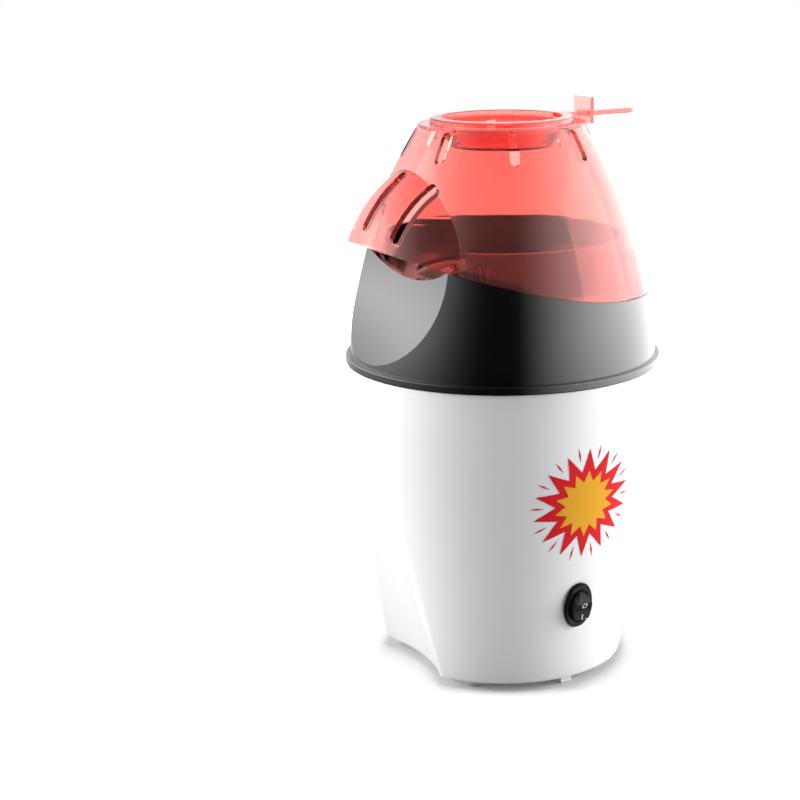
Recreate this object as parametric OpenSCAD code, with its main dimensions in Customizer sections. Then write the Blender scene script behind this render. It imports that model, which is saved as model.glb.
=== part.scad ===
// Hot-air popcorn maker: white body, black upper housing with a chute, a clear red lid with a hood
// over the chute, and a measuring cup that closes the lid. The front is -Y and the table is z = 0.

/* [Body] */
// Outer radius of the body where it meets the table side
base_r = 66; // [62:1:80]
// Height of the gap under the body, which the feet fill
base_z = 5; // [4:0.5:8]
// Height where the straight taper turns into the curve below the rim
taper_z = 112; // [95:1:125]
// Wall thickness of the body
body_wall = 2.6; // [2:0.1:3.2]
// Depth of the front recess at its foot, where a bowl stands close
recess_depth = 14.5; // [10:0.5:15]
// Radius of the front recess, a little more than that of a bowl
recess_r = 100; // [80:1:140]
// Lean of the recess wall away from the axis, in degrees
recess_lean = 14; // [12:1:20]

/* [Upper housing] */
// Outer radius of the black rim, the widest part
rim_r = 85; // [82:1:102]
// Height of the underside of the rim, where the body ends
rim_z = 168; // [160:1:176]
// Height of the rim
rim_h = 4.4; // [3:0.2:5]
// How far the rim stands out beyond the housing above it
rim_lip = 2.3; // [1.5:0.1:4]
// Wall thickness of the upper housing and of its chute
skin = 2.5; // [2:0.1:3]
// Height of the parting edge of lid and housing at its lowest point, near the back
edge_z = 206.5; // [202:0.5:209]
// Radius of the long curve that the parting edge follows in side view
edge_bend = 402; // [360:1:480]
// Distance of the lowest point of that curve behind the axis
edge_low_y = 69; // [60:1:80]
// Outer radius of the collar that stands inside the lid
collar_r = 66; // [65:0.5:67]
// Height of the deck around the mouth of the popping chamber
deck_z = 217; // [215:0.5:219]
// Half width of the opening in the front of the collar
gate_half = 46; // [40:1:48]
// Radius of the curved sill under that opening
sill_bend = 107; // [90:1:140]
// Radius of the chute's slide in side view
slide_r = 94.6; // [88:0.2:110]

/* [Lid] */
// Height of the lid's top face
lid_top_z = 295.3; // [285:0.5:355]
// Outer radius of the lid at its top face
lid_top_r = 43.9; // [42:0.1:50]
// Wall thickness of the lid and of the cup
lid_wall = 2.5; // [2:0.1:3]
// Radius of the round back of the hood in side view
hood_bend = 74; // [70:1:80]
// How far the hood stands out in front of the lid
hood_out = 12; // [9:0.5:16]
// Number of vent slots around the top of the lid
vents = 8; // [4:2:12]
// Width of every slot in the lid
slot_w = 5.4; // [4:0.2:6]

/* [Measuring cup] */
// Radius of the cup where it plugs into the lid
cup_r = 34; // [30:0.5:36]
// Outer radius of the cup's flange
flange_r = 38; // [37:0.5:41]
// Depth of the cup below the lid's top face
cup_depth = 12.4; // [8:0.2:24]
// Distance of the handle's tip from the axis
handle_reach = 82; // [70:1:95]

/* [Popping chamber] */
// Outer radius of the aluminium chamber
chamber_r = 47.5; // [44:0.5:48]
// Depth of the chamber from its mouth to its floor
chamber_deep = 62; // [50:1:66]
// Number of slanted air slots round the foot of the chamber
air_slots = 18; // [12:1:24]

/* [Air drive] */
// Radius of the fan's wheel
fan_r = 38; // [32:0.5:39]
// Height of the fan's blades
blade_h = 18; // [12:1:20]
// Radius of the motor shaft
shaft_r = 1.15; // [1:0.05:1.6]
// Radius of the motor can
motor_r = 15; // [13.5:0.5:18]
// Length of the motor can
motor_len = 36; // [30:1:40]

/* [Switch and inlet] */
// Direction of the switch from the front, in degrees
switch_side = 93.5; // [85:0.5:100]
// Height of the middle of the switch
switch_z = 47.8; // [42:0.1:60]
// Width of the oval bezel
bezel_w = 17.6; // [16:0.2:24]
// Height of the oval bezel
bezel_h = 25.6; // [24:0.2:30]
// Tilt of the rocker to either side, in degrees
rocker_tilt = 10; // [6:1:12]
// Height of the cord inlet at the back
inlet_z = 22; // [20:1:30]
// Radius of the supply cord that the inlet takes
cord_r = 3.5; // [3:0.1:4]

/* [Fits] */
// Gap between the lid and what it sits on, and between the cup and the lid
seat_gap = 0.3; // [0.2:0.05:0.5]
// Gap round a piece that drops into another one
slip = 0.3; // [0.2:0.05:0.4]
// Gap between a screw's shank and its hole
thread_gap = 0.05; // [0.03:0.01:0.1]
// Gap between the motor shaft and its bushings
shaft_gap = 0.03; // [0.02:0.01:0.05]

/* [Hidden] */
$fn = 96;
arc_fn = 360;
eps = 0.01;

// Body: a straight taper that runs tangent into an arc, upright under the rim
mouth_r = rim_r - 1.5;
arc_h = rim_z - taper_z;
taper_h = taper_z - base_z;
taper_a = 2 * atan((mouth_r - base_r) / (arc_h + 2 * taper_h));
side_bend = arc_h / sin(taper_a);
taper_top_r = mouth_r - side_bend * (1 - cos(taper_a));
side_steps = 14;
function taper_r(z) = taper_top_r - (taper_z - z) * tan(taper_a);
function side_r(z, inset) = mouth_r - side_bend + sqrt(pow(side_bend - inset, 2) - pow(rim_z - z, 2));

// Lid and housing share one arc, upright at the rim, that ends at the lid's top edge
housing_r = rim_r - rim_lip;
arc_z = rim_z - 5;
dome_dr = housing_r - lid_top_r;
dome_dz = lid_top_z - arc_z;
dome_bend = (dome_dr * dome_dr + dome_dz * dome_dz) / (2 * dome_dr);
dome_axis = housing_r - dome_bend;
dome_steps = 24;
function dome_r(z, inset = 0) = dome_axis + sqrt(pow(dome_bend - inset, 2) - pow(z - arc_z, 2));
function dome_z(r) = arc_z + sqrt(pow(dome_bend, 2) - pow(r - dome_axis, 2));
collar_wall = 2.5;
collar_top = dome_z(collar_r + lid_wall + 3);
function edge_at(y) = edge_z + edge_bend - sqrt(edge_bend * edge_bend - (y - edge_low_y) * (y - edge_low_y));

// Chute: an arc through the foot of the housing and the lip of the deck, swept about a far axis
deck_t = 2.5;
sheet = 0.8;
can_r = chamber_r + 5;
rim_flange_r = can_r + 2;
lip_y = rim_flange_r + 2.1;
foot_y = housing_r - 0.3;
foot_z = rim_z + rim_h + 2.2;
chord_y = foot_y - lip_y;
chord_z = deck_z + 0.3 - foot_z;
chord = sqrt(chord_y * chord_y + chord_z * chord_z);
chord_rise = sqrt(slide_r * slide_r - chord * chord / 4);
slide_y = (foot_y + lip_y) / 2 + chord_rise * chord_z / chord;
slide_z = (foot_z + deck_z + 0.3) / 2 + chord_rise * chord_y / chord;
chute_axis = 355;

// Hood: an arc swept about an upright axis in front of the lid's own axis
hood_z = 212;
hood_reach = dome_r(hood_z) + hood_out;
hood_axis = hood_reach - 56.5;
hood_back = hood_bend - 56.5;
hood_drop = 8;
hood_steps = 24;

// Cup
cup_flange_z = lid_top_z + seat_gap;
cup_flange_t = 2.9;
cup_floor_z = lid_top_z - cup_depth;
cup_floor_r = cup_r - 7;
handle_w = 10;
handle_t = 2.6;
tab_w = 17;
tab_y = lid_top_r + 6;

// Chamber and heater
chamber_top = deck_z - deck_t - 2;
chamber_floor = chamber_top - chamber_deep;
flange_t = 1;
can_flange_z = chamber_top - flange_t - sheet;
clamp_t = 1.6;
clamp_r = rim_flange_r + 4.5;
lug_angles = [80, 180, 280];

// Fan and motor
plate_t = 2.5;
plate_top = base_z + plate_t;
fan_wall = 2;
fan_case_r = fan_r + 8;
fan_floor_z = plate_top + 4.5;
fan_floor_t = 2;
blade_z = fan_floor_z + fan_floor_t + 3;
wheel_top = blade_z + blade_h + 2;
ledge_z = wheel_top + 2;
bracket_z = ledge_z + 2;
motor_z = bracket_z + 2;
cap_z = motor_z + motor_len;
board_z = cap_z + 4.5;
can_z = 58;
ledge_w = 3;
bushing_r = 3;
shaft_low = blade_z + 1;
shaft_top = board_z + 1.5;
wheel_hub_r = 5;
mica_z = board_z + 9.5;
mica_half = 33;
mica_t = 1;
cross_h = 46;
coil_r = mica_half + 1.9;
coil_wire = 1.5;
coil_turns = 5;

// Screws
base_screw_r = base_r - 9;
base_screw_at = [65, 115, 245, 295];
fan_screw_r = fan_case_r - 6;
fan_screw_at = [0, 90, 180, 270];
foot_r = 7;
foot_ring = base_r - 12;
foot_at = [45, 135, 225, 315];
boss_r = 4;
boss_ring = collar_r + 5.5;
boss_at = [75, 140, 220, 285];
lug_z = rim_z - 14;
screw_r = 1.5;

// Switch, in its own frame: x outward, z up along the wall
pad = 0.3;
neck_w = bezel_w - 3;
neck_h = bezel_h - 3;
well_w = neck_w - 2.6;
well_h = neck_h - 3.4;
bezel_t = 1.8;
rocker_face = 7;
oval_end = 0.4;
neck_deep = 10;
pivot_x = -1.5;
pin_r = 1.2;
rocker_gap = 0.35;

// Turns a child that points along +X to a direction counted from the front
module aim(a) { rotate([0, 0, a - 90]) children(); }

module ring(r_out, r_in, z, h) {
    difference() {
        translate([0, 0, z]) cylinder(r = r_out, h = h);
        translate([0, 0, z - 1]) cylinder(r = r_in, h = h + 2);
    }
}

module oval_x(w, h, x0, x1) {
    for (s = [-1, 1]) {
        translate([x0, 0, s * (h - w) / 2]) rotate([0, 90, 0]) cylinder(d = w, h = x1 - x0);
    }
    translate([x0, -w / 2, -(h - w) / 2]) cube([x1 - x0, w, h - w]);
}

// Oval of four arcs that run into each other, pushed out from x0 to x1
module oval_disc(w, h, x0, x1) {
    end_r = oval_end * w;
    mid = h / 2 - end_r;
    side_bow = (w * w / 4 + mid * mid - end_r * end_r) / (w - 2 * end_r);
    tip = mid + end_r * mid / (side_bow - end_r);
    translate([x0, 0, 0]) rotate([90, 0, 90]) linear_extrude(x1 - x0) {
        for (s = [-1, 1]) translate([0, s * mid]) circle(r = end_r);
        intersection() {
            translate([side_bow - w / 2, 0]) circle(r = side_bow, $fn = arc_fn);
            translate([w / 2 - side_bow, 0]) circle(r = side_bow, $fn = arc_fn);
            square([w, 2 * tip], center = true);
        }
    }
}

module screw_up(r, head_r, head_h, z, len) {
    translate([0, 0, z - head_h]) cylinder(r = head_r, h = head_h);
    translate([0, 0, z - eps]) cylinder(r = r, h = len + eps);
}

// Solid inside the body's outside, moved inward by inset
module body_solid(inset, z0, z1) {
    low_r = taper_r(z0) - inset / cos(taper_a);
    side = [for (i = [0:side_steps]) let (z = taper_z + (z1 - taper_z) * i / side_steps) [side_r(z, inset), z]];
    rotate_extrude() polygon(concat([[0, z0], [low_r, z0]], side, [[0, z1]]));
}

module body_disc(inset, z0, h) {
    r0 = taper_r(z0) - inset / cos(taper_a);
    rotate_extrude() polygon([[0, z0], [r0, z0], [r0 + h * tan(taper_a), z0 + h], [0, z0 + h]]);
}

module recess(inset) {
    axis_y = -(base_r - recess_depth) - recess_r / cos(recess_lean);
    translate([0, axis_y, base_z]) rotate([recess_lean, 0, 0])
        translate([0, 0, -90]) cylinder(r = recess_r + inset, h = 340, $fn = arc_fn);
}

module dome_solid(inset, z0, z1) {
    side = [for (i = [0:dome_steps]) let (z = z0 + (z1 - z0) * i / dome_steps) [dome_r(z, inset), z]];
    rotate_extrude() polygon(concat([[0, z0]], side, [[0, z1]]));
}

module above_edge(lift) {
    translate([-rim_r - 20, edge_low_y, edge_z + edge_bend]) rotate([0, 90, 0])
        cylinder(r = edge_bend - lift, h = 2 * rim_r + 40, $fn = arc_fn * 2);
}

module chute(inset) {
    translate([0, -chute_axis, 0]) rotate_extrude($fn = arc_fn)
        translate([chute_axis - slide_y, slide_z]) circle(r = slide_r + inset, $fn = arc_fn);
}

module hood_solid(inset) {
    bend = hood_bend - inset;
    a0 = -asin(hood_drop / bend);
    a1 = acos(hood_back / bend);
    side = [for (i = [0:hood_steps]) let (a = a0 + (a1 - a0) * i / hood_steps)
        [bend * cos(a) - hood_back, hood_z + bend * sin(a)]];
    translate([0, -hood_axis, 0]) rotate_extrude($fn = arc_fn) polygon(concat([[0, hood_z - hood_drop]], side));
}

module at_switch() {
    aim(switch_side) translate([taper_r(switch_z), 0, switch_z]) rotate([0, taper_a, 0]) children();
}

module at_inlet() {
    aim(180) translate([taper_r(inlet_z), 0, inlet_z]) rotate([0, taper_a, 0]) children();
}

module body_shell() {
    color("white") difference() {
        union() {
            difference() {
                body_solid(0, base_z, rim_z);
                difference() {
                    body_solid(body_wall, base_z - 1, rim_z + 1);
                    recess(body_wall);
                }
            }
            intersection() {
                body_solid(1, plate_top, rim_z - 2);
                union() {
                    for (a = base_screw_at) aim(a) {
                        translate([base_screw_r, 0, plate_top]) cylinder(r = boss_r, h = 22);
                        translate([base_screw_r, -1.5, plate_top]) cube([20, 3, 22]);
                    }
                    for (a = boss_at) aim(a) {
                        translate([boss_ring, 0, lug_z]) cylinder(r = boss_r + 1.5, h = 4);
                        translate([boss_ring, -boss_r - 1.5, lug_z]) cube([20, 2 * boss_r + 3, 4]);
                    }
                }
            }
            at_switch() oval_disc(bezel_w + 1.4, bezel_h + 1.4, -body_wall + 0.6, pad);
            at_inlet() translate([-body_wall + 0.8, 0, 0]) rotate([0, 90, 0])
                cylinder(r = cord_r + 6, h = body_wall - 0.8 + pad);
        }
        recess(0);
        for (a = base_screw_at) aim(a) translate([base_screw_r, 0, plate_top - 1])
            cylinder(r = screw_r + thread_gap, h = 16);
        for (a = boss_at) aim(a) translate([boss_ring, 0, lug_z - 1])
            cylinder(r = screw_r + 0.2, h = 6);
        at_switch() oval_disc(neck_w + slip, neck_h + slip, -body_wall - 4, pad + 1);
        at_inlet() translate([-body_wall - 4, 0, 0]) rotate([0, 90, 0])
            cylinder(r = cord_r + 2.5 + slip / 2, h = body_wall + 6);
    }
}

module base_plate() {
    color("white") difference() {
        union() {
            body_disc(body_wall + slip, base_z, plate_t);
            for (a = [switch_side, 360 - switch_side]) aim(a)
                translate([base_r - body_wall - slip - 5, -3.25, 0.5]) cube([4, 6.5, base_z]);
        }
        recess(body_wall + slip);
        for (a = [15:30:345]) rotate([0, 0, a]) {
            translate([12, -1.6, base_z - 1]) cube([21, 3.2, plate_t + 2]);
            for (x = [12, 33]) translate([x, 0, base_z - 1]) cylinder(r = 1.6, h = plate_t + 2);
        }
        translate([0, 0, base_z - 1]) cylinder(r = 5, h = plate_t + 2);
        for (a = base_screw_at) aim(a) translate([base_screw_r, 0, base_z - 1])
            cylinder(r = screw_r + 0.2, h = plate_t + 2);
        for (a = fan_screw_at) aim(a) translate([fan_screw_r, 0, base_z - 1])
            cylinder(r = screw_r + 0.2, h = plate_t + 2);
        for (a = foot_at) aim(a) translate([foot_ring, 0, base_z - 1]) cylinder(r = 3, h = plate_t + 2);
    }
}

module rubber_feet() {
    color("dimgray") for (a = foot_at) aim(a) translate([foot_ring, 0, 0]) {
        cylinder(r1 = foot_r - 0.8, r2 = foot_r, h = 1);
        translate([0, 0, 1 - eps]) cylinder(r = foot_r, h = base_z - 1 + eps);
        translate([0, 0, base_z - eps]) cylinder(r = 2.9, h = plate_t + 1 + eps);
    }
}

module base_screws() {
    color("silver") for (a = base_screw_at) aim(a) translate([base_screw_r, 0, 0])
        screw_up(screw_r, 3, 1.6, base_z, plate_t + 12);
}

module fan_screws() {
    color("silver") for (a = fan_screw_at) aim(a) translate([fan_screw_r, 0, 0])
        screw_up(screw_r, 3, 1.6, base_z, plate_t + 5);
}

module upper_housing() {
    bore_r = collar_r - collar_wall;
    spigot_deep = 8;
    spigot_r = side_r(rim_z - spigot_deep, body_wall) - slip;
    color("black") difference() {
        union() {
            difference() {
                union() {
                    dome_solid(0, rim_z, deck_z + 20);
                    rotate_extrude() {
                        translate([0, rim_z]) square([rim_r - 0.8, rim_h]);
                        translate([0, rim_z + 0.8]) square([rim_r, rim_h - 1.6]);
                        for (z = [0.8, rim_h - 0.8]) translate([rim_r - 0.8, rim_z + z]) circle(r = 0.8);
                    }
                }
                above_edge(0);
                difference() {
                    union() {
                        difference() {
                            dome_solid(skin, rim_z + 2.5, deck_z + 20);
                            above_edge(-skin);
                        }
                        translate([0, 0, rim_z - 1]) cylinder(r = bore_r, h = 80);
                        translate([0, 0, rim_z - 1]) cylinder(r = spigot_r - 2, h = 4);
                    }
                    chute(skin);
                }
            }
            difference() {
                ring(spigot_r, spigot_r - 2, rim_z - spigot_deep, spigot_deep + 1);
                recess(body_wall + slip);
            }
            ring(collar_r, bore_r, edge_z - 6, collar_top - edge_z + 6);
            translate([0, 0, deck_z - deck_t]) cylinder(r = bore_r + 1, h = deck_t);
            for (a = boss_at) aim(a) translate([boss_ring, 0, lug_z + 4])
                cylinder(r = boss_r, h = edge_at(-boss_ring * cos(a)) - lug_z - 5);
            for (a = lug_angles) aim(a) translate([clamp_r, 0, can_flange_z])
                cylinder(r = 3.2, h = deck_z - deck_t - can_flange_z + 1);
        }
        chute(0);
        intersection() {
            translate([-gate_half, -rim_r, deck_z - 10]) cube([2 * gate_half, rim_r - 30, 60]);
            translate([0, -25, deck_z + 0.5 + sill_bend]) rotate([90, 0, 0])
                cylinder(r = sill_bend, h = rim_r, $fn = arc_fn);
        }
        translate([0, 0, deck_z - 10]) cylinder(r = chamber_r - 1, h = 20);
        for (a = boss_at) aim(a) translate([boss_ring, 0, lug_z + 3])
            cylinder(r = screw_r + thread_gap, h = 16);
        for (a = lug_angles) aim(a) translate([clamp_r, 0, can_flange_z - 1])
            cylinder(r = screw_r + thread_gap, h = 5.5);
    }
}

module housing_screws() {
    color("silver") for (a = boss_at) aim(a) translate([boss_ring, 0, 0])
        screw_up(screw_r, 3, 1.8, lug_z, 16);
}

module chamber_gasket() {
    color("gainsboro") ring(rim_flange_r - 0.5, chamber_r - 1, chamber_top, 2);
}

module popping_chamber() {
    wall = 1;
    color("silver") difference() {
        union() {
            translate([0, 0, chamber_floor]) cylinder(r = chamber_r, h = chamber_deep);
            ring(rim_flange_r, chamber_r - 2, chamber_top - flange_t, flange_t);
        }
        difference() {
            translate([0, 0, chamber_floor + wall]) cylinder(r = chamber_r - wall, h = chamber_deep);
            translate([0, 0, chamber_floor]) cylinder(r1 = 26, r2 = 8, h = 10);
        }
        translate([0, 0, chamber_floor - 1]) cylinder(r1 = 26 - wall, r2 = 8 - wall, h = 10);
        for (i = [0:air_slots - 1]) rotate([0, 0, i * 360 / air_slots])
            translate([chamber_r - 1, 0, chamber_floor + 9]) rotate([0, 0, 55])
                cube([12, 1.6, 9], center = true);
    }
}

module clamp_ring() {
    color("silver") difference() {
        union() {
            translate([0, 0, can_flange_z - clamp_t]) cylinder(r = rim_flange_r, h = clamp_t);
            for (a = lug_angles) aim(a) {
                translate([clamp_r, 0, can_flange_z - clamp_t]) cylinder(r = 4, h = clamp_t);
                translate([can_r - 1, -4, can_flange_z - clamp_t]) cube([clamp_r - can_r + 1, 8, clamp_t]);
            }
        }
        translate([0, 0, can_flange_z - clamp_t - 1]) cylinder(r = can_r + 0.2, h = clamp_t + 2);
        for (a = lug_angles) aim(a) translate([clamp_r, 0, can_flange_z - clamp_t - 1])
            cylinder(r = screw_r + 0.2, h = clamp_t + 2);
    }
}

module clamp_screws() {
    color("silver") for (a = lug_angles) aim(a) translate([clamp_r, 0, 0])
        screw_up(screw_r, 2.8, 1.6, can_flange_z - clamp_t, clamp_t + 4);
}

module heater_housing() {
    color("silver") {
        ring(can_r, can_r - sheet, can_z, can_flange_z - can_z + eps);
        ring(rim_flange_r, can_r - sheet, can_flange_z, sheet);
        ring(can_r - sheet + eps, can_r - sheet - 2, mica_z - 1.5, 1.5);
    }
}

module mica_base() {
    color("wheat") difference() {
        translate([0, 0, mica_z]) cylinder(r = can_r - sheet - 0.2, h = mica_t);
        translate([0, 0, mica_z - 1]) cylinder(r = mica_half - 3, h = mica_t + 2);
        for (a = [22.5:45:337.5]) rotate([0, 0, a]) translate([mica_half + 9, 0, mica_z - 1])
            cylinder(r = 5, h = mica_t + 2);
    }
}

module mica_cross() {
    color("wheat") for (a = [45, 135]) rotate([0, 0, a])
        translate([-mica_half, -mica_t / 2, mica_z + mica_t]) cube([2 * mica_half, mica_t, cross_h]);
}

module heating_coil() {
    sides = 6;
    steps = 16 * coil_turns;
    z0 = mica_z + mica_t + 5;
    pitch = (cross_h - 10) / coil_turns;
    pts = [for (i = [0:steps]) let (a = i * 360 * coil_turns / steps, z = z0 + pitch * a / 360)
        for (j = [0:sides - 1]) let (r = coil_r + coil_wire * cos(j * 360 / sides))
            [r * cos(a), r * sin(a), z + coil_wire * sin(j * 360 / sides)]];
    walls = [for (i = [0:steps - 1]) for (j = [0:sides - 1]) let (k = (j + 1) % sides)
        [i * sides + j, i * sides + k, (i + 1) * sides + k, (i + 1) * sides + j]];
    caps = [[for (j = [sides - 1:-1:0]) j], [for (j = [0:sides - 1]) steps * sides + j]];
    color("dimgray") {
        polyhedron(points = pts, faces = concat(walls, caps), convexity = 10);
        translate([coil_r, 0, mica_z + mica_t]) cylinder(r = 1, h = 5);
    }
}

module thermostat() {
    color("ivory") aim(180) difference() {
        union() {
            translate([can_r - 1, 0, 108]) rotate([0, 90, 0]) cylinder(r = 8, h = 8);
            translate([can_r - 1, -12, 105]) cube([2.2, 24, 6]);
            for (s = [-1, 1]) translate([can_r + 6, s * 4 - 0.4, 106]) cube([7, 0.8, 4]);
        }
        translate([0, 0, 90]) cylinder(r = can_r, h = 40);
    }
}

module thermal_fuse() {
    color("silver") aim(150) difference() {
        union() {
            translate([can_r + 1.8, 0, 98]) cylinder(r = 2, h = 12);
            translate([can_r - 1, -3.5, 102]) cube([2.4, 7, 4]);
        }
        translate([0, 0, 90]) cylinder(r = can_r, h = 40);
    }
}

module fan_housing() {
    inner_r = fan_case_r - fan_wall;
    color("dimgray") difference() {
        union() {
            ring(fan_case_r, inner_r, fan_floor_z, can_z - fan_floor_z - 1);
            ring(can_r + 1.2, inner_r, can_z - 2, 2);
            ring(can_r + 1.2, can_r + 0.2, can_z - eps, 2);
            ring(inner_r + 1, fan_r - 14, fan_floor_z, fan_floor_t);
            ring(inner_r + 1, inner_r - ledge_w, ledge_z, 2);
            for (a = fan_screw_at) aim(a) translate([fan_screw_r, 0, plate_top]) cylinder(r = boss_r, h = 5.5);
        }
        for (a = fan_screw_at) aim(a) translate([fan_screw_r, 0, plate_top - 1])
            cylinder(r = screw_r + thread_gap, h = 6.4);
    }
}

module motor_bracket() {
    inner_r = fan_case_r - fan_wall;
    color("silver") difference() {
        union() {
            ring(inner_r - 0.2, inner_r - ledge_w - 2, bracket_z, 2);
            translate([0, 0, bracket_z]) cylinder(r = motor_r, h = 2);
            for (a = [0:120:240]) rotate([0, 0, a]) translate([0, -3.5, bracket_z])
                cube([inner_r - 1, 7, 2]);
        }
        translate([0, 0, bracket_z - 1]) cylinder(r = bushing_r + 0.2, h = 4);
        for (s = [-1, 1]) translate([s * (motor_r - 6.5), 0, bracket_z - 1]) cylinder(r = 1.4, h = 4);
    }
}

module motor_screws() {
    color("silver") for (s = [-1, 1]) translate([s * (motor_r - 6.5), 0, 0])
        screw_up(1.2, 2.2, 1.4, bracket_z, 4.4);
}

module motor_can() {
    color("silver") difference() {
        translate([0, 0, motor_z]) cylinder(r = motor_r, h = motor_len);
        translate([0, 0, motor_z + 1.4]) cylinder(r = motor_r - 1.2, h = motor_len);
        translate([0, 0, motor_z - 1]) cylinder(r = bushing_r, h = 4);
        for (s = [-1, 1]) translate([s * (motor_r - 6.5), 0, motor_z - 1])
            cylinder(r = 1.2 + thread_gap, h = 4);
    }
}

module motor_cap() {
    color("ivory") difference() {
        union() {
            translate([0, 0, cap_z]) cylinder(r = motor_r, h = 2);
            translate([0, 0, cap_z]) cylinder(r = bushing_r + 2, h = 4.5);
        }
        translate([0, 0, cap_z - 1]) cylinder(r = bushing_r, h = 8);
        for (s = [-1, 1]) translate([-3, s * (motor_r - 4) - 1, cap_z - 1]) cube([6, 2, 4]);
    }
}

module motor_magnets() {
    color("dimgray") intersection() {
        ring(motor_r - 1.2, motor_r - 3.4, motor_z + 4, motor_len - 8);
        for (s = [0, 180]) rotate([0, 0, s]) translate([0, 2.5, motor_z])
            translate([-motor_r, 0, 0]) cube([2 * motor_r, motor_r, motor_len]);
    }
}

module motor_bushings() {
    color("goldenrod") for (z = [motor_z, cap_z + 0.6])
        ring(bushing_r, shaft_r + shaft_gap, z, 3.4);
}

module rectifier_board() {
    color("darkgreen") ring(motor_r - 1, 2.2, board_z, 1.5);
}

module rectifier_diodes() {
    color("black") for (a = [0:90:270]) rotate([0, 0, a]) translate([8.5, 0, board_z + 1.5]) {
        translate([0, -3, 2.2]) rotate([-90, 0, 0]) cylinder(r = 1.6, h = 6);
        for (s = [-1, 1]) translate([-0.4, s * 2.4 - 0.4, 0]) cube([0.8, 0.8, 2]);
    }
}

module impeller() {
    color("dimgray") difference() {
        union() {
            translate([0, 0, blade_z]) cylinder(r = wheel_hub_r, h = wheel_top - blade_z);
            translate([0, 0, wheel_top - 2]) cylinder(r = fan_r, h = 2);
            ring(fan_r, fan_r - 8, blade_z - 1, 1.6);
            for (a = [0:30:330]) rotate([0, 0, a]) translate([14, -6, blade_z]) rotate([0, 0, 20])
                cube([fan_r - 15.5, 1.2, blade_h + 1]);
        }
        translate([0, 0, blade_z - 1]) cylinder(r = shaft_r, h = wheel_top - blade_z + 2);
    }
}

module motor_rotor() {
    color("peru") difference() {
        union() {
            translate([0, 0, motor_z + 6]) cylinder(r = motor_r - 4.1, h = motor_len - 13);
            translate([0, 0, motor_z + motor_len - 7 - eps]) cylinder(r = 4, h = 5);
        }
        translate([0, 0, motor_z]) cylinder(r = shaft_r, h = motor_len);
        for (a = [0:60:300]) rotate([0, 0, a]) translate([motor_r - 7, -0.8, motor_z + 5])
            cube([4, 1.6, motor_len - 11]);
    }
}

module motor_shaft() {
    color("silver") translate([0, 0, shaft_low]) cylinder(r = shaft_r, h = shaft_top - shaft_low);
}

module switch_housing() {
    color("black") at_switch() difference() {
        union() {
            oval_disc(bezel_w, bezel_h, pad, pad + bezel_t - 1);
            oval_disc(bezel_w - 1.4, bezel_h - 1.4, pad, pad + bezel_t);
            oval_disc(neck_w, neck_h, -neck_deep, pad + 1);
        }
        oval_disc(well_w, well_h, pivot_x - 4.5, pad + bezel_t + 1);
        translate([pivot_x, -well_w / 2 - 1 - rocker_gap, 0]) rotate([-90, 0, 0])
            cylinder(r = pin_r + 0.05, h = well_w + 2 + 2 * rocker_gap);
    }
}

module switch_terminals() {
    color("silver") at_switch() for (z = [-7, 0, 7])
        translate([-neck_deep - 5, -2.4, z - 0.4]) cube([5, 4.8, 0.8]);
}

module rocker() {
    w = well_w - 2 * rocker_gap;
    h = well_h - 2 * rocker_gap;
    rise = h / 2 * tan(rocker_tilt);
    color("black") at_switch() translate([pivot_x, 0, 0]) rotate([0, rocker_tilt, 0]) {
        intersection() {
            intersection_for(swing = [-1, 0, 1]) rotate([0, swing * rocker_tilt, 0])
                oval_disc(w, h, -6, rocker_face + rise + 4);
            rotate([-90, 0, 0]) translate([0, 0, -w]) cylinder(r = h / 2, h = 2 * w);
            rotate([90, 0, 0]) translate([0, 0, -w]) linear_extrude(2 * w)
                polygon([[-1, -h / 2], [rocker_face + rise, -h / 2], [rocker_face, 0],
                         [rocker_face + rise, h / 2], [-1, h / 2]]);
        }
        translate([0, -well_w / 2 - 1, 0]) rotate([-90, 0, 0]) cylinder(r = pin_r, h = well_w + 2);
    }
}

module inlet_gland() {
    color("black") at_inlet() difference() {
        union() {
            translate([pad, 0, 0]) rotate([0, 90, 0]) cylinder(r = cord_r + 4.5, h = 2.4);
            translate([-body_wall - 3, 0, 0]) rotate([0, 90, 0])
                cylinder(r = cord_r + 2.5, h = body_wall + 3 + pad + eps);
        }
        translate([-body_wall - 5, 0, 0]) rotate([0, 90, 0]) cylinder(r = cord_r + 0.2, h = body_wall + 12);
    }
}

module hood_slots() {
    mid = 41;
    for (x = [-24, 0, 24]) {
        drop = x == 0 ? 0 : 5.5;
        reach = x == 0 ? 0 : 9.5;
        y = -(hood_reach - hood_bend) - (hood_bend - reach) * cos(mid) + (x == 0 ? 0 : -1);
        z = hood_z + hood_bend * sin(mid) - drop;
        translate([x, y, z]) rotate([90 - mid, 0, 0]) {
            translate([-slot_w / 2, -16, -9]) cube([slot_w, 32, 18]);
            for (s = [-16, 16]) translate([0, s, -9]) cylinder(d = slot_w, h = 18);
        }
    }
}

module lid() {
    top = lid_top_z - lid_wall;
    color("tomato", 0.6) {
        difference() {
            intersection() {
                union() {
                    dome_solid(0, edge_z - 3, lid_top_z);
                    hood_solid(0);
                }
                above_edge(seat_gap);
            }
            dome_solid(lid_wall, edge_z - 4, top);
            hood_solid(lid_wall);
            translate([0, 0, top - 1]) cylinder(r = cup_r + 0.4, h = lid_wall + 2);
            for (i = [0:vents - 1]) rotate([0, 0, (i + 0.5) * 360 / vents])
                translate([0, 0, lid_top_z - 9.2]) oval_x(slot_w, 15.4, lid_top_r - 8, lid_top_r + 14);
            hood_slots();
        }
        intersection() {
            dome_solid(lid_wall / 2, edge_z, deck_z + 30);
            above_edge(seat_gap);
            union() {
                for (a = [52, 128, 232, 308]) for (s = [-2.6, 1.4]) aim(a)
                    translate([collar_r + 0.4, s, edge_z]) cube([30, 1.2, deck_z + 14 - edge_z]);
                lid_sill();
            }
        }
    }
}

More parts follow.
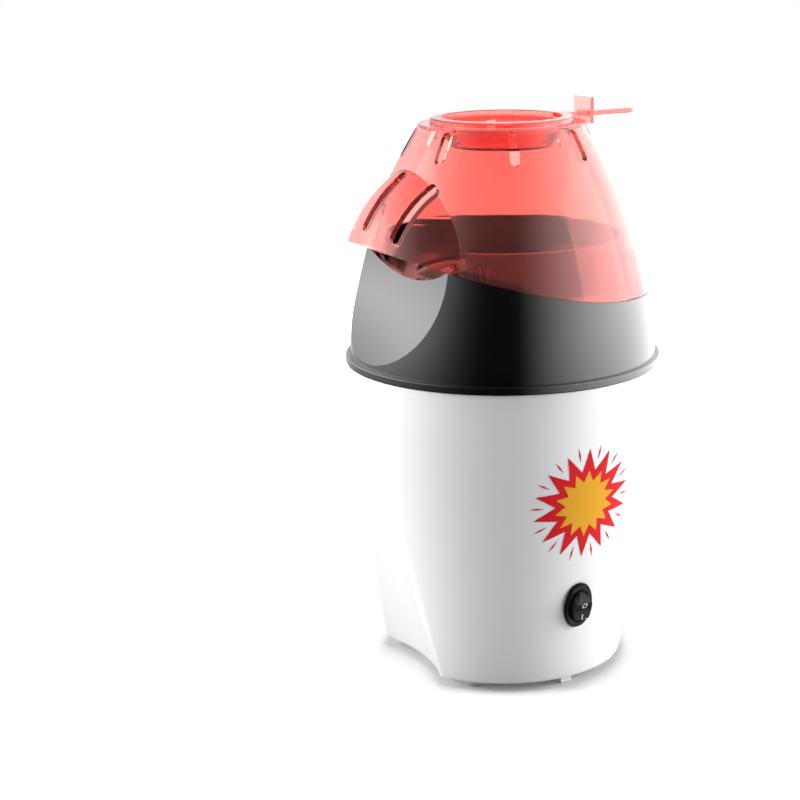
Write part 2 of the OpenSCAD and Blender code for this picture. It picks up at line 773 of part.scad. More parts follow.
// Curved bar under the hood that closes the gap above the deck's front edge
module lid_sill() {
    bar_y = 2.4;
    bar_z = 3.3;
    translate([0, -lip_y + 0.6, 0]) intersection() {
        translate([-gate_half - 6, 0, deck_z - 5]) cube([2 * gate_half + 12, bar_y, 30]);
        difference() {
            translate([0, -1, deck_z + 0.5 + sill_bend]) rotate([-90, 0, 0])
                cylinder(r = sill_bend - seat_gap, h = bar_y + 2, $fn = arc_fn);
            translate([0, -2, deck_z + 0.5 + bar_z + sill_bend]) rotate([-90, 0, 0])
                cylinder(r = sill_bend - seat_gap, h = bar_y + 4, $fn = arc_fn);
        }
    }
}

module measuring_cup() {
    wall = 2;
    color("tomato", 0.6) {
        rotate_extrude() {
            polygon([
                [0, cup_floor_z], [cup_floor_r, cup_floor_z], [cup_r, lid_top_z - 3], [cup_r, cup_flange_z],
                [flange_r, cup_flange_z], [flange_r, cup_flange_z + cup_flange_t - 0.8],
                [flange_r - 0.8, cup_flange_z + cup_flange_t], [cup_r - wall, cup_flange_z + cup_flange_t],
                [cup_r - wall, lid_top_z - 3], [cup_floor_r - wall, cup_floor_z + wall], [0, cup_floor_z + wall]
            ]);
        }
        translate([-handle_w / 2, flange_r - 1, cup_flange_z + 0.3])
            cube([handle_w, handle_reach - flange_r + 1 - handle_w / 2, handle_t]);
        translate([0, handle_reach - handle_w / 2, cup_flange_z + 0.3]) cylinder(d = handle_w, h = handle_t);
        translate([-tab_w / 2, tab_y, lid_top_z - 3.3]) cube([tab_w, 2, 14]);
    }
}

body_shell();
base_plate();
rubber_feet();
base_screws();
fan_screws();
upper_housing();
housing_screws();
chamber_gasket();
popping_chamber();
clamp_ring();
clamp_screws();
heater_housing();
mica_base();
mica_cross();
heating_coil();
thermostat();
thermal_fuse();
fan_housing();
motor_bracket();
motor_screws();
motor_can();
motor_cap();
motor_magnets();
motor_bushings();
rectifier_board();
rectifier_diodes();
impeller();
motor_rotor();
motor_shaft();
switch_housing();
switch_terminals();
rocker();
inlet_gland();
lid();
measuring_cup();
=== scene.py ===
# %% [markdown]
# # A hot-air popcorn maker
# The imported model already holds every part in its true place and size. This lesson dresses it: first the
# finishes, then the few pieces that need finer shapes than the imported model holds, then light and camera.

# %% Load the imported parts
import math

import bpy
import bmesh
from mathutils import Matrix, Vector


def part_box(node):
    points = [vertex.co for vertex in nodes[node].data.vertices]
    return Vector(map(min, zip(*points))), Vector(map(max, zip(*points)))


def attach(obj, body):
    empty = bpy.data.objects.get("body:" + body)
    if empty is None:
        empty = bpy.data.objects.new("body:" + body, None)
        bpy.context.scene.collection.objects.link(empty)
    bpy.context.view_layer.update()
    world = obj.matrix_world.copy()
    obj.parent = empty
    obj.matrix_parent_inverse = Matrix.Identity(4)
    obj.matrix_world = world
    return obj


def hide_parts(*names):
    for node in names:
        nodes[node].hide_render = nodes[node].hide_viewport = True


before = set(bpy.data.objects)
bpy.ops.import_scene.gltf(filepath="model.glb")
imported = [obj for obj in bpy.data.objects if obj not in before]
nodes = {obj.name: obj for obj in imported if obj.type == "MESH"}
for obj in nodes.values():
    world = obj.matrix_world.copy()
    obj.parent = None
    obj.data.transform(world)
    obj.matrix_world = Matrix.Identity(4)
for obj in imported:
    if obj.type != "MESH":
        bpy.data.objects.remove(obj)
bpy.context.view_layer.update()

# %% [markdown]
# ## Small helpers for node trees
# Every finish and every shape rule below is a node tree. Three helpers keep them short: one adds a node and
# fills its sockets by name or number, one makes a Math node, so that a formula reads like a formula, and one
# starts a node group with named inputs and outputs.


# %% Helpers for node trees
def put(tree, kind, values=None, **settings):
    node = tree.nodes.new(kind)
    for name, value in settings.items():
        setattr(node, name, value)
    for key, value in (values or {}).items():
        if isinstance(value, bpy.types.NodeSocket):
            tree.links.new(value, node.inputs[key])
        else:
            node.inputs[key].default_value = value
    return node


def calc(tree, operation, *values):
    return put(tree, "ShaderNodeMath", dict(enumerate(values)), operation=operation).outputs[0]


def new_group(name, kind, inputs, outputs):
    tree = bpy.data.node_groups.new(name, kind)
    for socket, kind_of, value in inputs:
        item = tree.interface.new_socket(socket, in_out="INPUT", socket_type=kind_of)
        if value is not None:
            item.default_value = value
    for socket, kind_of in outputs:
        tree.interface.new_socket(socket, in_out="OUTPUT", socket_type=kind_of)
    return tree, tree.nodes.new("NodeGroupInput"), tree.nodes.new("NodeGroupOutput")


# %% [markdown]
# ## What moulded plastic looks like close up
# A moulded part is never perfectly even: its gloss drifts a little where the melt flowed, handling leaves
# fine rub marks, and dust settles on what faces up. One shared group makes these as masks, so that every
# plastic can use them at its own strength.

# %% The moulded surface group
moulded, group_in, group_out = new_group(
    "moulded_surface", "ShaderNodeTree",
    [("Grain Scale", "NodeSocketFloat", 900.0), ("Flow Scale", "NodeSocketFloat", 14.0),
     ("Roughness", "NodeSocketFloat", 0.2), ("Roughness Drift", "NodeSocketFloat", 0.05),
     ("Bump", "NodeSocketFloat", 0.02), ("Dust", "NodeSocketFloat", 0.05)],
    [("Roughness", "NodeSocketFloat"), ("Normal", "NodeSocketVector"), ("Dust Mask", "NodeSocketFloat")])
place = put(moulded, "ShaderNodeTexCoord").outputs["Object"]


def cloud(scale, detail, **more):
    values = {"Vector": place, "Scale": scale, "Detail": detail, **more}
    return put(moulded, "ShaderNodeTexNoise", values).outputs["Fac"]


def peaks(value, limit=0.66):
    return calc(moulded, "GREATER_THAN", value, limit)


grain = cloud(group_in.outputs["Grain Scale"], 3.0)
flow = cloud(group_in.outputs["Flow Scale"], 4.0)
rub_lines = calc(moulded, "MULTIPLY", peaks(cloud(260.0, 6.0, Distortion=1.5)), 0.35)
drift = calc(moulded, "ADD", calc(moulded, "SUBTRACT", flow, 0.5), rub_lines)
most = group_in.outputs["Roughness Drift"]
rough = calc(moulded, "MULTIPLY_ADD", drift, most, group_in.outputs["Roughness"])
facing = put(moulded, "ShaderNodeNewGeometry").outputs["Normal"]
up = put(moulded, "ShaderNodeSeparateXYZ", {0: facing}).outputs["Z"]
dust = calc(moulded, "MULTIPLY", calc(moulded, "MAXIMUM", up, 0.0), peaks(cloud(1400.0, 2.0)))
dust = calc(moulded, "MULTIPLY", dust, group_in.outputs["Dust"])
bump = put(moulded, "ShaderNodeBump", {"Strength": group_in.outputs["Bump"], "Distance": 0.0003,
                                       "Height": grain})
moulded.links.new(rough, group_out.inputs["Roughness"])
moulded.links.new(bump.outputs["Normal"], group_out.inputs["Normal"])
moulded.links.new(dust, group_out.inputs["Dust Mask"])
print("shared group:", moulded.name, len(moulded.nodes), "nodes")


# %% A plastic from that group
def plastic(name, colour, roughness, drift=0.05, bump=0.02, dust=0.05, grain=900.0, coat=0.0, **fixed):
    material = bpy.data.materials.new(name)
    material.use_nodes = True
    tree = material.node_tree
    shader = tree.nodes["Principled BSDF"]
    surface = put(tree, "ShaderNodeGroup", node_tree=moulded)
    for socket, value in (("Roughness", roughness), ("Roughness Drift", drift), ("Bump", bump),
                          ("Dust", dust), ("Grain Scale", grain)):
        surface.inputs[socket].default_value = value
    tint = put(tree, "ShaderNodeMix", {0: surface.outputs["Dust Mask"], 6: (*colour, 1.0),
                                       7: (0.62, 0.60, 0.56, 1.0)}, data_type="RGBA")
    tree.links.new(tint.outputs[2], shader.inputs["Base Color"])
    tree.links.new(surface.outputs["Roughness"], shader.inputs["Roughness"])
    tree.links.new(surface.outputs["Normal"], shader.inputs["Normal"])
    shader.inputs["Coat Weight"].default_value = coat
    shader.inputs["Coat Roughness"].default_value = 0.04
    for socket, value in fixed.items():
        shader.inputs[socket.replace("_", " ")].default_value = value
    return material


# %% [markdown]
# ## The finishes
# White and black housings are glossy moulded plastic. The lid and the cup are clear red plastic: light goes
# through, each wall tints it, and cut edges look deeper in colour because light travels along the sheet.
# Inside are plain technical finishes: spun aluminium, zinc-plated steel, mica, lacquered copper.

# %% Moulded plastics
white_body = plastic("white_gloss", (0.86, 0.87, 0.88), 0.16, drift=0.04, bump=0.015, dust=0.03, coat=0.3)
black_housing = plastic("black_gloss", (0.005, 0.005, 0.006), 0.14, bump=0.015, dust=0.02, coat=0.5)
switch_black = plastic("switch_satin", (0.010, 0.010, 0.011), 0.24, drift=0.06, bump=0.04, dust=0.04,
                       Specular_IOR_Level=0.18)
fan_plastic = plastic("fan_plastic", (0.05, 0.05, 0.055), 0.42, drift=0.12, bump=0.10, dust=0.25)
motor_plastic = plastic("motor_plastic", (0.74, 0.70, 0.58), 0.45, drift=0.10, bump=0.08, dust=0.15)
foot_rubber = plastic("foot_rubber", (0.55, 0.56, 0.57), 0.55, drift=0.15, bump=0.25, dust=0.30, grain=1600.0)
gasket_silicone = plastic("gasket_silicone", (0.62, 0.58, 0.53), 0.50, drift=0.10, bump=0.12, dust=0.10)
print("plastics:", white_body.name, black_housing.name, switch_black.name)


# %% Clear red plastic
def clear_red(name, wall_tint, depth_tint, density, roughness):
    material = plastic(name, wall_tint, roughness, drift=0.03, bump=0.01, IOR=1.45)
    tree = material.node_tree
    shader = tree.nodes["Principled BSDF"]
    tree.nodes.remove(shader.inputs["Base Color"].links[0].from_node)
    shader.inputs["Base Color"].default_value = (*wall_tint, 1.0)
    shader.inputs["Transmission Weight"].default_value = 0.96
    depth = put(tree, "ShaderNodeVolumeAbsorption", {"Color": (*depth_tint, 1.0), "Density": density})
    tree.links.new(depth.outputs[0], tree.nodes["Material Output"].inputs["Volume"])
    return material


lid_red = clear_red("lid_red", (0.94, 0.45, 0.41), (0.99, 0.10, 0.04), 120.0, 0.04)
cup_red = clear_red("cup_red", (0.94, 0.50, 0.47), (0.99, 0.12, 0.06), 110.0, 0.05)
print("clear plastics:", lid_red.name, cup_red.name)


# %% Metals
def metal(name, colour, roughness, streak=(1.0, 1.0, 1.0), scale=240.0, bump=0.08, tarnish=0.2):
    material = bpy.data.materials.new(name)
    material.use_nodes = True
    tree = material.node_tree
    shader = tree.nodes["Principled BSDF"]
    spot = put(tree, "ShaderNodeMapping", {"Vector": put(tree, "ShaderNodeTexCoord").outputs["Object"],
                                           "Scale": streak})
    brushed, patches = (put(tree, "ShaderNodeTexNoise", {"Vector": spot.outputs["Vector"], "Scale": size,
                                                         "Detail": detail}).outputs["Fac"]
                        for size, detail in ((scale, 4.0), (35.0, 5.0)))
    tarnished = [c * (1 - tarnish) for c in colour]
    shade = put(tree, "ShaderNodeMix", {0: patches, 6: (*colour, 1.0), 7: (*tarnished, 1.0)},
                data_type="RGBA")
    tree.links.new(shade.outputs[2], shader.inputs["Base Color"])
    tree.links.new(calc(tree, "MULTIPLY_ADD", brushed, 0.18, roughness - 0.06), shader.inputs["Roughness"])
    lines = put(tree, "ShaderNodeBump", {"Strength": bump, "Distance": 0.0002, "Height": brushed})
    tree.links.new(lines.outputs["Normal"], shader.inputs["Normal"])
    shader.inputs["Metallic"].default_value = 1.0
    return material


spun_aluminium = metal("spun_aluminium", (0.80, 0.80, 0.79), 0.30, streak=(1.0, 1.0, 12.0), scale=160.0)
zinc_steel = metal("zinc_steel", (0.62, 0.62, 0.60), 0.34, scale=120.0, tarnish=0.3)
heater_wire = metal("heater_wire", (0.32, 0.28, 0.25), 0.50, scale=500.0, tarnish=0.5)
bronze = metal("sintered_bronze", (0.62, 0.42, 0.22), 0.45, scale=700.0, bump=0.2)
copper = metal("lacquered_copper", (0.76, 0.36, 0.20), 0.28, streak=(1.0, 1.0, 0.2), scale=420.0)
magnet_grey = metal("ferrite", (0.12, 0.12, 0.125), 0.62, scale=900.0, bump=0.3)
print("metals:", spun_aluminium.name, zinc_steel.name, copper.name)


# %% Mica and circuit board
mica = plastic("mica_sheet", (0.66, 0.55, 0.36), 0.38, drift=0.2, bump=0.3, dust=0.1, grain=260.0)
board_green = plastic("board_green", (0.03, 0.16, 0.07), 0.35, drift=0.1, bump=0.1, dust=0.1)
diode_black = plastic("diode_black", (0.02, 0.02, 0.02), 0.40, drift=0.08, bump=0.06)
print("heater and board:", mica.name, board_green.name, diode_black.name)

# %% [markdown]
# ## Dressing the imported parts
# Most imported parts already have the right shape, so they only get a finish. A table of node to finish keeps
# it in one place.

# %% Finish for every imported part
finish_of = {
    white_body: ["body_shell", "base_plate"],
    black_housing: ["upper_housing"],
    lid_red: ["lid"],
    cup_red: ["measuring_cup"],
    switch_black: ["switch_housing", "rocker", "inlet_gland"],
    foot_rubber: ["rubber_feet"],
    gasket_silicone: ["chamber_gasket"],
    spun_aluminium: ["popping_chamber"],
    zinc_steel: ["base_screws", "fan_screws", "housing_screws", "clamp_ring", "clamp_screws",
                 "heater_housing", "thermal_fuse", "motor_bracket", "motor_screws", "motor_can",
                 "motor_shaft"],
    mica: ["mica_base", "mica_cross"],
    heater_wire: ["heating_coil"],
    motor_plastic: ["thermostat", "motor_cap"],
    fan_plastic: ["fan_housing", "impeller"],
    magnet_grey: ["motor_magnets"],
    bronze: ["motor_bushings", "switch_terminals"],
    copper: ["motor_rotor"],
    board_green: ["rectifier_board"],
    diode_black: ["rectifier_diodes"],
}
for finish, names in finish_of.items():
    for name in names:
        nodes[name].data.materials.clear()
        nodes[name].data.materials.append(finish)
print("dressed", sum(map(len, finish_of.values())), "of", len(nodes), "packed parts")

# %% [markdown]
# ## Growing a piece with Geometry Nodes
# A piece that follows a rule is grown by a node tree with named sizes, then turned into a plain mesh. The
# helper sets the tree's inputs by identifier, evaluates it once, and leaves a mesh with no modifier on it.


# %% Helper that grows a plain mesh
def grow(name, tree, sizes, body):
    piece = bpy.data.objects.new(name, bpy.data.meshes.new(name + "_seed"))
    bpy.context.scene.collection.objects.link(piece)
    growth = piece.modifiers.new("growth", "NODES")
    growth.node_group = tree
    for item in tree.interface.items_tree:
        if item.item_type == "SOCKET" and item.in_out == "INPUT" and item.name in sizes:
            growth[item.identifier] = sizes[item.name]
    view = bpy.context.evaluated_depsgraph_get()
    mesh = bpy.data.meshes.new_from_object(piece.evaluated_get(view))
    piece.modifiers.remove(growth)
    piece.data = mesh
    mesh.name = name
    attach(piece, body)
    print(name, len(mesh.vertices), "vertices", len(mesh.polygons), "faces")
    return piece


def finish_tree(tree, geometry, material, group_out, smooth=True):
    if smooth:
        geometry = put(tree, "GeometryNodeSetShadeSmooth", {"Geometry": geometry}).outputs[0]
    real = put(tree, "GeometryNodeRealizeInstances", {0: geometry}).outputs[0]
    painted = put(tree, "GeometryNodeSetMaterial", {"Geometry": real, "Material": material}).outputs[0]
    tree.links.new(painted, group_out.inputs[0])


# %% [markdown]
# ## The body
# The body is a tapered tube that runs into a gentle curve below the rim, and a bowl-shaped hollow is pressed
# into its front. On the real one it comes out of one mould, so the edge of the hollow is soft. A boolean cut
# would leave a sharp edge, so the body is grown from a grid instead: for each direction the wall stands at
# the taper's radius or at the hollow's, whichever is less, and a smooth minimum rounds the edge between them.

# %% Sizes of the body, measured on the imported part
low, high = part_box("body_shell")
foot_z, rim_z = low.z, high.z
rim_r = high.x
foot_r, taper_z, wall = 0.066, 0.112, 0.0026
hollow_r, hollow_depth, hollow_lean = 0.100, 0.0145, math.radians(14)
edge_softness = 0.0016
bow = rim_z - taper_z
slope_angle = 2 * math.atan((rim_r - foot_r) / (bow + 2 * (taper_z - foot_z)))
bend_r = bow / math.sin(slope_angle)
print("body from", round(foot_z, 4), "to", round(rim_z, 4), "m")
print("slope", round(math.degrees(slope_angle), 2), "degrees")


def body_radius(z):
    bow_part = math.sqrt(bend_r ** 2 - (rim_z - max(z, taper_z)) ** 2)
    return rim_r - bend_r + bow_part - max(taper_z - z, 0) * math.tan(slope_angle)


# %% The rule that shapes the body
body_tree, group_in, group_out = new_group(
    "tapered_body", "GeometryNodeTree",
    [(name, "NodeSocketFloat", 0.0) for name in
     ("Foot Height", "Rim Height", "Foot Radius", "Rim Radius", "Taper Top", "Slope", "Bend Radius",
      "Hollow Radius", "Hollow Depth", "Hollow Lean", "Edge Softness")]
    + [("Around", "NodeSocketInt", 480), ("Upward", "NodeSocketInt", 90),
       ("Finish", "NodeSocketMaterial", None)],
    [("Geometry", "NodeSocketGeometry")])
size = group_in.outputs


def rule(operation, *values):
    return calc(body_tree, operation, *values)


sheet = put(body_tree, "GeometryNodeMeshGrid", {"Size X": 1.0, "Size Y": 1.0, "Vertices X": size["Around"],
                                                "Vertices Y": size["Upward"]})
flat = put(body_tree, "GeometryNodeInputPosition").outputs[0]
spot = put(body_tree, "ShaderNodeSeparateXYZ", {0: flat}).outputs
turn = rule("MULTIPLY", spot["X"], 2 * math.pi)
tall = rule("SUBTRACT", size["Rim Height"], size["Foot Height"])
rise = rule("MULTIPLY", rule("ADD", spot["Y"], 0.5), tall)
height = rule("ADD", rise, size["Foot Height"])
side, ahead = rule("SINE", turn), rule("COSINE", turn)
drop = rule("SUBTRACT", size["Rim Height"], rule("MAXIMUM", height, size["Taper Top"]))
bow_r = rule("SQRT", rule("SUBTRACT", rule("POWER", size["Bend Radius"], 2.0), rule("POWER", drop, 2.0)))
taper = rule("MULTIPLY", rule("MAXIMUM", rule("SUBTRACT", size["Taper Top"], height), 0.0), size["Slope"])
outer = rule("SUBTRACT", rule("ADD", rule("SUBTRACT", size["Rim Radius"], size["Bend Radius"]), bow_r), taper)
lean_c, lean_s = rule("COSINE", size["Hollow Lean"]), rule("SINE", size["Hollow Lean"])
reach = rule("ADD", rule("MULTIPLY", rule("SUBTRACT", size["Foot Radius"], size["Hollow Depth"]), lean_c),
             size["Hollow Radius"])
reach = rule("ADD", reach, rule("MULTIPLY", rise, lean_s))
slant = rule("MULTIPLY", ahead, lean_c)
a = rule("ADD", rule("POWER", side, 2.0), rule("POWER", slant, 2.0))
b = rule("MULTIPLY", reach, slant)
c = rule("SUBTRACT", rule("POWER", reach, 2.0), rule("POWER", size["Hollow Radius"], 2.0))
inside = rule("SUBTRACT", rule("POWER", b, 2.0), rule("MULTIPLY", a, c))
meets = rule("MULTIPLY", rule("GREATER_THAN", inside, 0.0), rule("GREATER_THAN", ahead, 0.0))
hollow = rule("DIVIDE", rule("SUBTRACT", b, rule("SQRT", rule("MAXIMUM", inside, 0.0))), a)
hollow = rule("ADD", rule("MULTIPLY", hollow, meets), rule("SUBTRACT", 1.0, meets))
radius = rule("SMOOTH_MIN", outer, hollow, size["Edge Softness"])
across, along = rule("MULTIPLY", radius, side), rule("MULTIPLY", rule("MULTIPLY", radius, ahead), -1.0)
goal = put(body_tree, "ShaderNodeCombineXYZ", {0: across, 1: along, 2: height}).outputs[0]
bent = put(body_tree, "GeometryNodeSetPosition", {"Geometry": sheet.outputs["Mesh"], "Position": goal})
closed = put(body_tree, "GeometryNodeMergeByDistance", {"Geometry": bent.outputs[0], "Distance": 1e-6})
finish_tree(body_tree, closed.outputs[0], size["Finish"], group_out)
print("body rule:", len(body_tree.nodes), "nodes")

# %% Grow the body and give it its wall
body = grow("body_moulding", body_tree, {
    "Foot Height": foot_z, "Rim Height": rim_z, "Foot Radius": foot_r, "Rim Radius": rim_r,
    "Taper Top": taper_z, "Slope": math.tan(slope_angle), "Bend Radius": bend_r, "Hollow Radius": hollow_r,
    "Hollow Depth": hollow_depth, "Hollow Lean": hollow_lean, "Edge Softness": edge_softness,
    "Finish": white_body}, "base")
shell = body.modifiers.new("wall", "SOLIDIFY")
shell.thickness, shell.offset = wall, -1.0
rounding = body.modifiers.new("rounding", "BEVEL")
rounding.width, rounding.segments, rounding.limit_method = 0.0005, 2, "ANGLE"
rounding.angle_limit = math.radians(60)
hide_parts("body_shell")
print("body radius at the foot:", round(body_radius(foot_z), 5))

# %% [markdown]
# ## The printed badge
# A badge like this is printed film on the curved wall. A flat picture of it would cut into the body, so each
# layer is drawn flat, in millimetres round and up, and then wrapped: across becomes an angle, up stays up.
# Rings inside the outline let the sheet bend with the wall. A plain sunburst stands for the printed picture.

# %% A star of film wrapped on the body
badge_side, badge_z, film = 93.2, 0.1060, 0.00012


def wrapped(across, up, lift):
    z = badge_z + up
    r = body_radius(z) + lift
    turn = math.radians(badge_side) + across / r
    return r * math.sin(turn), -r * math.cos(turn), z


def printed(name, outlines, lift, colour, rings=9):
    sheet = bmesh.new()
    for middle, edge in outlines:
        middle = Vector(middle)
        rows = [[sheet.verts.new(wrapped(*middle.lerp(Vector(point), k / rings), lift)) for point in edge]
                for k in range(rings + 1)]
        for inner, outer in zip(rows, rows[1:]):
            for i in range(len(edge)):
                j = (i + 1) % len(edge)
                sheet.faces.new((inner[i], outer[i], outer[j], inner[j]))
    bmesh.ops.remove_doubles(sheet, verts=sheet.verts, dist=1e-7)
    mesh = bpy.data.meshes.new(name)
    sheet.to_mesh(mesh)
    sheet.free()
    piece = bpy.data.objects.new(name, mesh)
    bpy.context.scene.collection.objects.link(piece)
    thick = piece.modifiers.new("film", "SOLIDIFY")
    thick.thickness, thick.offset = film, -1.0
    mesh.materials.append(plastic(name + "_ink", colour, 0.45, drift=0.08, bump=0.03,
                                 dust=0.02, Specular_IOR_Level=0.12))
    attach(piece, "base")
    print(name, len(mesh.polygons), "faces")
    return piece


def star(points, tip, notch, steps=3):
    corners = []
    for k in range(points * 2):
        r, a = (notch if k % 2 else tip), math.pi * k / points
        corners.append(Vector((r * math.sin(a), r * math.cos(a))))
    edge = []
    for start, end in zip(corners, corners[1:] + corners[:1]):
        edge += [start.lerp(end, k / steps) for k in range(steps)]
    return (0.0, 0.0), edge


def streak(a, near, far, half_width):
    along, across = Vector((math.sin(a), math.cos(a))), Vector((math.cos(a), -math.sin(a))) * half_width
    middle = along * (near + far) / 2
    return middle, [along * near, middle + across, along * far, middle - across]


points = 14
rays = [streak(2 * math.pi * (k + 0.5) / points, near=0.0240, far=0.0320, half_width=0.0005)
        for k in range(points)]
printed("badge_star", [star(points, tip=0.0300, notch=0.0180)] + rays, lift=0.00016, colour=(0.70, 0.012, 0.020))
printed("badge_core", [star(points, tip=0.0185, notch=0.0125)], lift=0.00030, colour=(0.80, 0.40, 0.03))

# %% [markdown]
# ## The marks on the switch
# The ring and the bar that say off and on are printed on the two halves of the rocker's face. They ride on
# the rocker, so they tip with it. The rocker's own placing is one matrix, built from its angles.

# %% Ring and bar
switch_turn, switch_z, tilt = math.radians(3.5), 0.0478, math.radians(10)
pivot_depth, ridge_x, half_h = 0.0015, 0.0070, 0.00925
at_rocker = (Matrix.Rotation(switch_turn, 4, "Z") @ Matrix.Translation((body_radius(switch_z), 0, switch_z))
             @ Matrix.Rotation(slope_angle, 4, "Y") @ Matrix.Translation((-pivot_depth, 0, 0))
             @ Matrix.Rotation(tilt, 4, "Y"))
end_x = ridge_x + half_h * math.tan(tilt)
ink_top, ink_foot = 0.00008, -0.0001
mark_white = plastic("mark_white", (0.80, 0.80, 0.80), 0.35, drift=0.05, bump=0.02, dust=0.05)


def mark(name, outer, inner, middle):
    ink = bmesh.new()
    rows = []
    for ring, lift in ((outer, ink_top), (inner, ink_top), (inner, ink_foot), (outer, ink_foot)):
        row = []
        for y, z in ring:
            height = middle + z
            x = ridge_x + (end_x - ridge_x) * abs(height) / half_h + lift
            row.append(ink.verts.new(at_rocker @ Vector((x, y, height))))
        rows.append(row)
    count = len(outer)
    for inner_row, outer_row in zip(rows, rows[1:] + rows[:1]):
        for i in range(count):
            j = (i + 1) % count
            ink.faces.new((inner_row[i], inner_row[j], outer_row[j], outer_row[i]))
    bmesh.ops.remove_doubles(ink, verts=ink.verts, dist=1e-8)
    bmesh.ops.recalc_face_normals(ink, faces=ink.faces)
    mesh = bpy.data.meshes.new(name)
    ink.to_mesh(mesh)
    ink.free()
    mesh.materials.append(mark_white)
    piece = bpy.data.objects.new(name, mesh)
    bpy.context.scene.collection.objects.link(piece)
    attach(piece, "rocker")
    return piece


def oval(half_w, half_t, sides=40):
    return [(half_w * math.cos(2 * math.pi * k / sides), half_t * math.sin(2 * math.pi * k / sides))
            for k in range(sides)]


mark("mark_off", oval(0.00165, 0.00165), oval(0.00115, 0.00115), 0.0036)
bar = [(0.00028, 0.0015), (-0.00028, 0.0015), (-0.00028, -0.0015), (0.00028, -0.0015)]
mark("mark_on", bar, [(0.0, z) for _, z in bar], -0.0036)
print("marks on the rocker: 2")

# %% [markdown]
# ## Floor, light and camera
# The object is glossy, so it shows its surroundings. Two wide soft boxes stand left and right with a dark gap
# between them, which draws the dark band down the middle of the black housing and the soft grey one on the
# white body. The floor is pale and plain.

# %% Floor
floor_mesh = bpy.data.meshes.new("floor")
half = 6.0
corners = [(-half, -half, 0), (half, -half, 0), (half, half, 0), (-half, half, 0)]
floor_mesh.from_pydata(corners, [], [(0, 1, 2, 3)])
floor = bpy.data.objects.new("floor", floor_mesh)
bpy.context.scene.collection.objects.link(floor)
floor_paint = bpy.data.materials.new("floor_paint")
floor_paint.use_nodes = True
ground = floor_paint.node_tree
paint = ground.nodes["Principled BSDF"]
ray = put(ground, "ShaderNodeLightPath").outputs
looked_at = calc(ground, "MAXIMUM", ray["Is Camera Ray"], ray["Is Transmission Ray"])
pale = put(ground, "ShaderNodeMix", {0: looked_at, 6: (0.42, 0.42, 0.43, 1.0), 7: (0.93, 0.93, 0.93, 1.0)},
           data_type="RGBA")
ground.links.new(pale.outputs[2], paint.inputs["Base Color"])
away = put(ground, "ShaderNodeVectorMath", {0: put(ground, "ShaderNodeTexCoord").outputs["Object"]},
           operation="LENGTH")
far = put(ground, "ShaderNodeMapRange", {"Value": away.outputs["Value"], "From Min": 0.3, "From Max": 0.9,
                                         "To Max": 0.6}, interpolation_type="SMOOTHSTEP").outputs["Result"]
paint.inputs["Emission Color"].default_value = (1.0, 1.0, 1.0, 1.0)
ground.links.new(calc(ground, "MULTIPLY", far, looked_at), paint.inputs["Emission Strength"])
paint.inputs["Roughness"].default_value = 0.7
paint.inputs["Specular IOR Level"].default_value = 0.0
floor_mesh.materials.append(floor_paint)
floor.visible_glossy = False
print("floor:", 2 * half, "m wide")

# %% World: white to the eye, a dim room with two bright sides to the glossy parts
world = bpy.data.worlds.new("studio")
bpy.context.scene.world = world
bpy.context.scene.view_settings.view_transform = "Standard"
world.use_nodes = True
sky = world.node_tree
view_side = 60.0
outlook = put(sky, "ShaderNodeTexCoord").outputs["Generated"]


def glow(side, strength, narrow, lowest, full):
    turn = math.radians(side)
    facing = put(sky, "ShaderNodeVectorMath", {0: outlook, 1: (math.sin(turn), -math.cos(turn), 0.0)},
                 operation="DOT_PRODUCT").outputs["Value"]
    level = put(sky, "ShaderNodeSeparateXYZ", {0: outlook}).outputs["Z"]
    raised = put(sky, "ShaderNodeMapRange", {"Value": level, "From Min": lowest, "From Max": full})
    lobe = calc(sky, "POWER", calc(sky, "MAXIMUM", facing, 0.0), narrow)
    return calc(sky, "MULTIPLY", calc(sky, "MULTIPLY", lobe, raised.outputs["Result"]), strength)


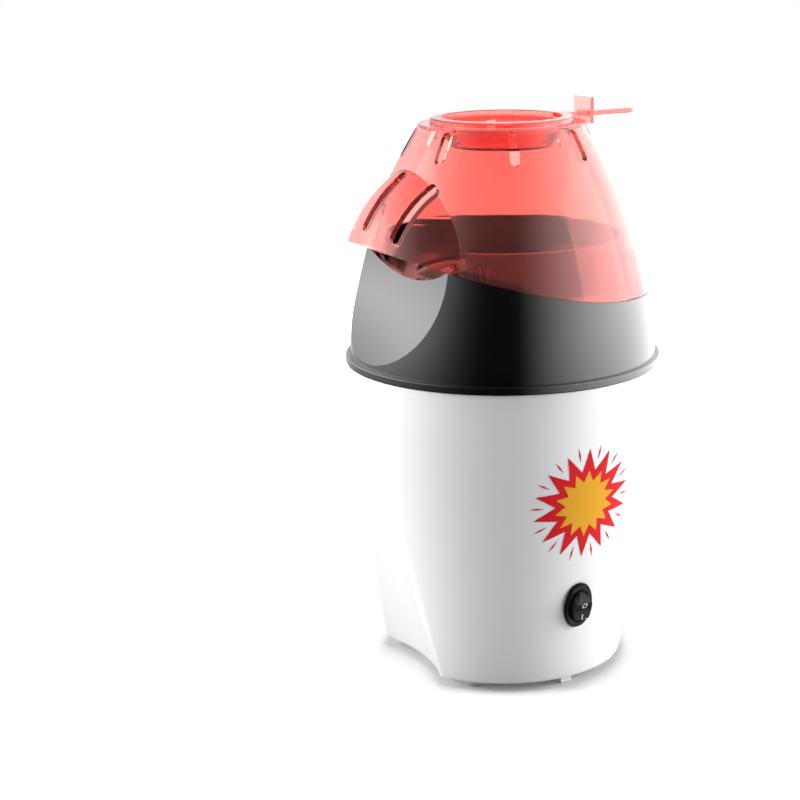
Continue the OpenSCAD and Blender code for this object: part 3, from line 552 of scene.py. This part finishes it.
right_box = glow(view_side + 100, strength=5.5, narrow=1.6, lowest=-0.9, full=0.0)
left_box = glow(view_side - 95, strength=5.5, narrow=3.0, lowest=-0.35, full=0.26)
back_glow = glow(view_side + 180, strength=0.9, narrow=3.0, lowest=-1.1, full=-1.0)
boxes = calc(sky, "ADD", calc(sky, "ADD", right_box, left_box), back_glow)
path = put(sky, "ShaderNodeLightPath").outputs
straight = calc(sky, "MAXIMUM", path["Is Camera Ray"], path["Is Transmission Ray"])
straight = calc(sky, "MAXIMUM", straight, 0.05)
mirrored = calc(sky, "MULTIPLY", calc(sky, "MINIMUM", path["Glossy Depth"], 1.0),
                calc(sky, "SUBTRACT", 1.0, path["Is Diffuse Ray"]))
level = calc(sky, "MULTIPLY_ADD", mirrored, calc(sky, "SUBTRACT", boxes, straight), straight)
sky.links.new(level, sky.nodes["Background"].inputs["Strength"])
sky.nodes["Background"].inputs["Color"].default_value = (1.0, 1.0, 1.0, 1.0)
print("world:", world.name, len(sky.nodes), "nodes")


# %% Soft boxes left and right, and an even light from above
def soft_box(name, side, height, distance, size, power, aim_z=0.16):
    turn = math.radians(side)
    spot = Vector((distance * math.sin(turn), -distance * math.cos(turn), height))
    light = bpy.data.lights.new(name, "AREA")
    light.shape = "RECTANGLE"
    light.size, light.size_y = size
    light.energy = power
    lamp = bpy.data.objects.new(name, light)
    bpy.context.scene.collection.objects.link(lamp)
    lamp.location = spot
    lamp.rotation_euler = (Vector((0, 0, aim_z)) - spot).to_track_quat("-Z", "Y").to_euler()
    lamp.visible_glossy = False
    return lamp


soft_box("box_left", view_side - 90, 0.5, 1.6, (1.4, 1.4), 50)
soft_box("box_right", view_side + 90, 0.5, 1.6, (1.4, 1.4), 42)
above = bpy.data.lights.new("above", "SUN")
above.energy, above.angle = 2.7, math.radians(20)
overhead = bpy.data.objects.new("above", above)
bpy.context.scene.collection.objects.link(overhead)
overhead.visible_glossy = False

# %% Camera
eye = Vector((0.8305, -0.4795, 0.3961))
look_at = Vector((-0.0248, -0.0501, 0.1448))
lens = bpy.data.cameras.new("camera")
lens.lens = 81.3
lens.sensor_width = 36.0
lens.clip_end = 50.0
camera = bpy.data.objects.new("camera", lens)
bpy.context.scene.collection.objects.link(camera)
aim, roll = (look_at - eye).to_track_quat("-Z", "Y").to_matrix().to_4x4(), Matrix.Rotation(-0.016, 4, "Z")
camera.matrix_world = Matrix.Translation(eye) @ aim @ roll
bpy.context.scene.camera = camera
print("camera", round((look_at - eye).length, 3), "m away")
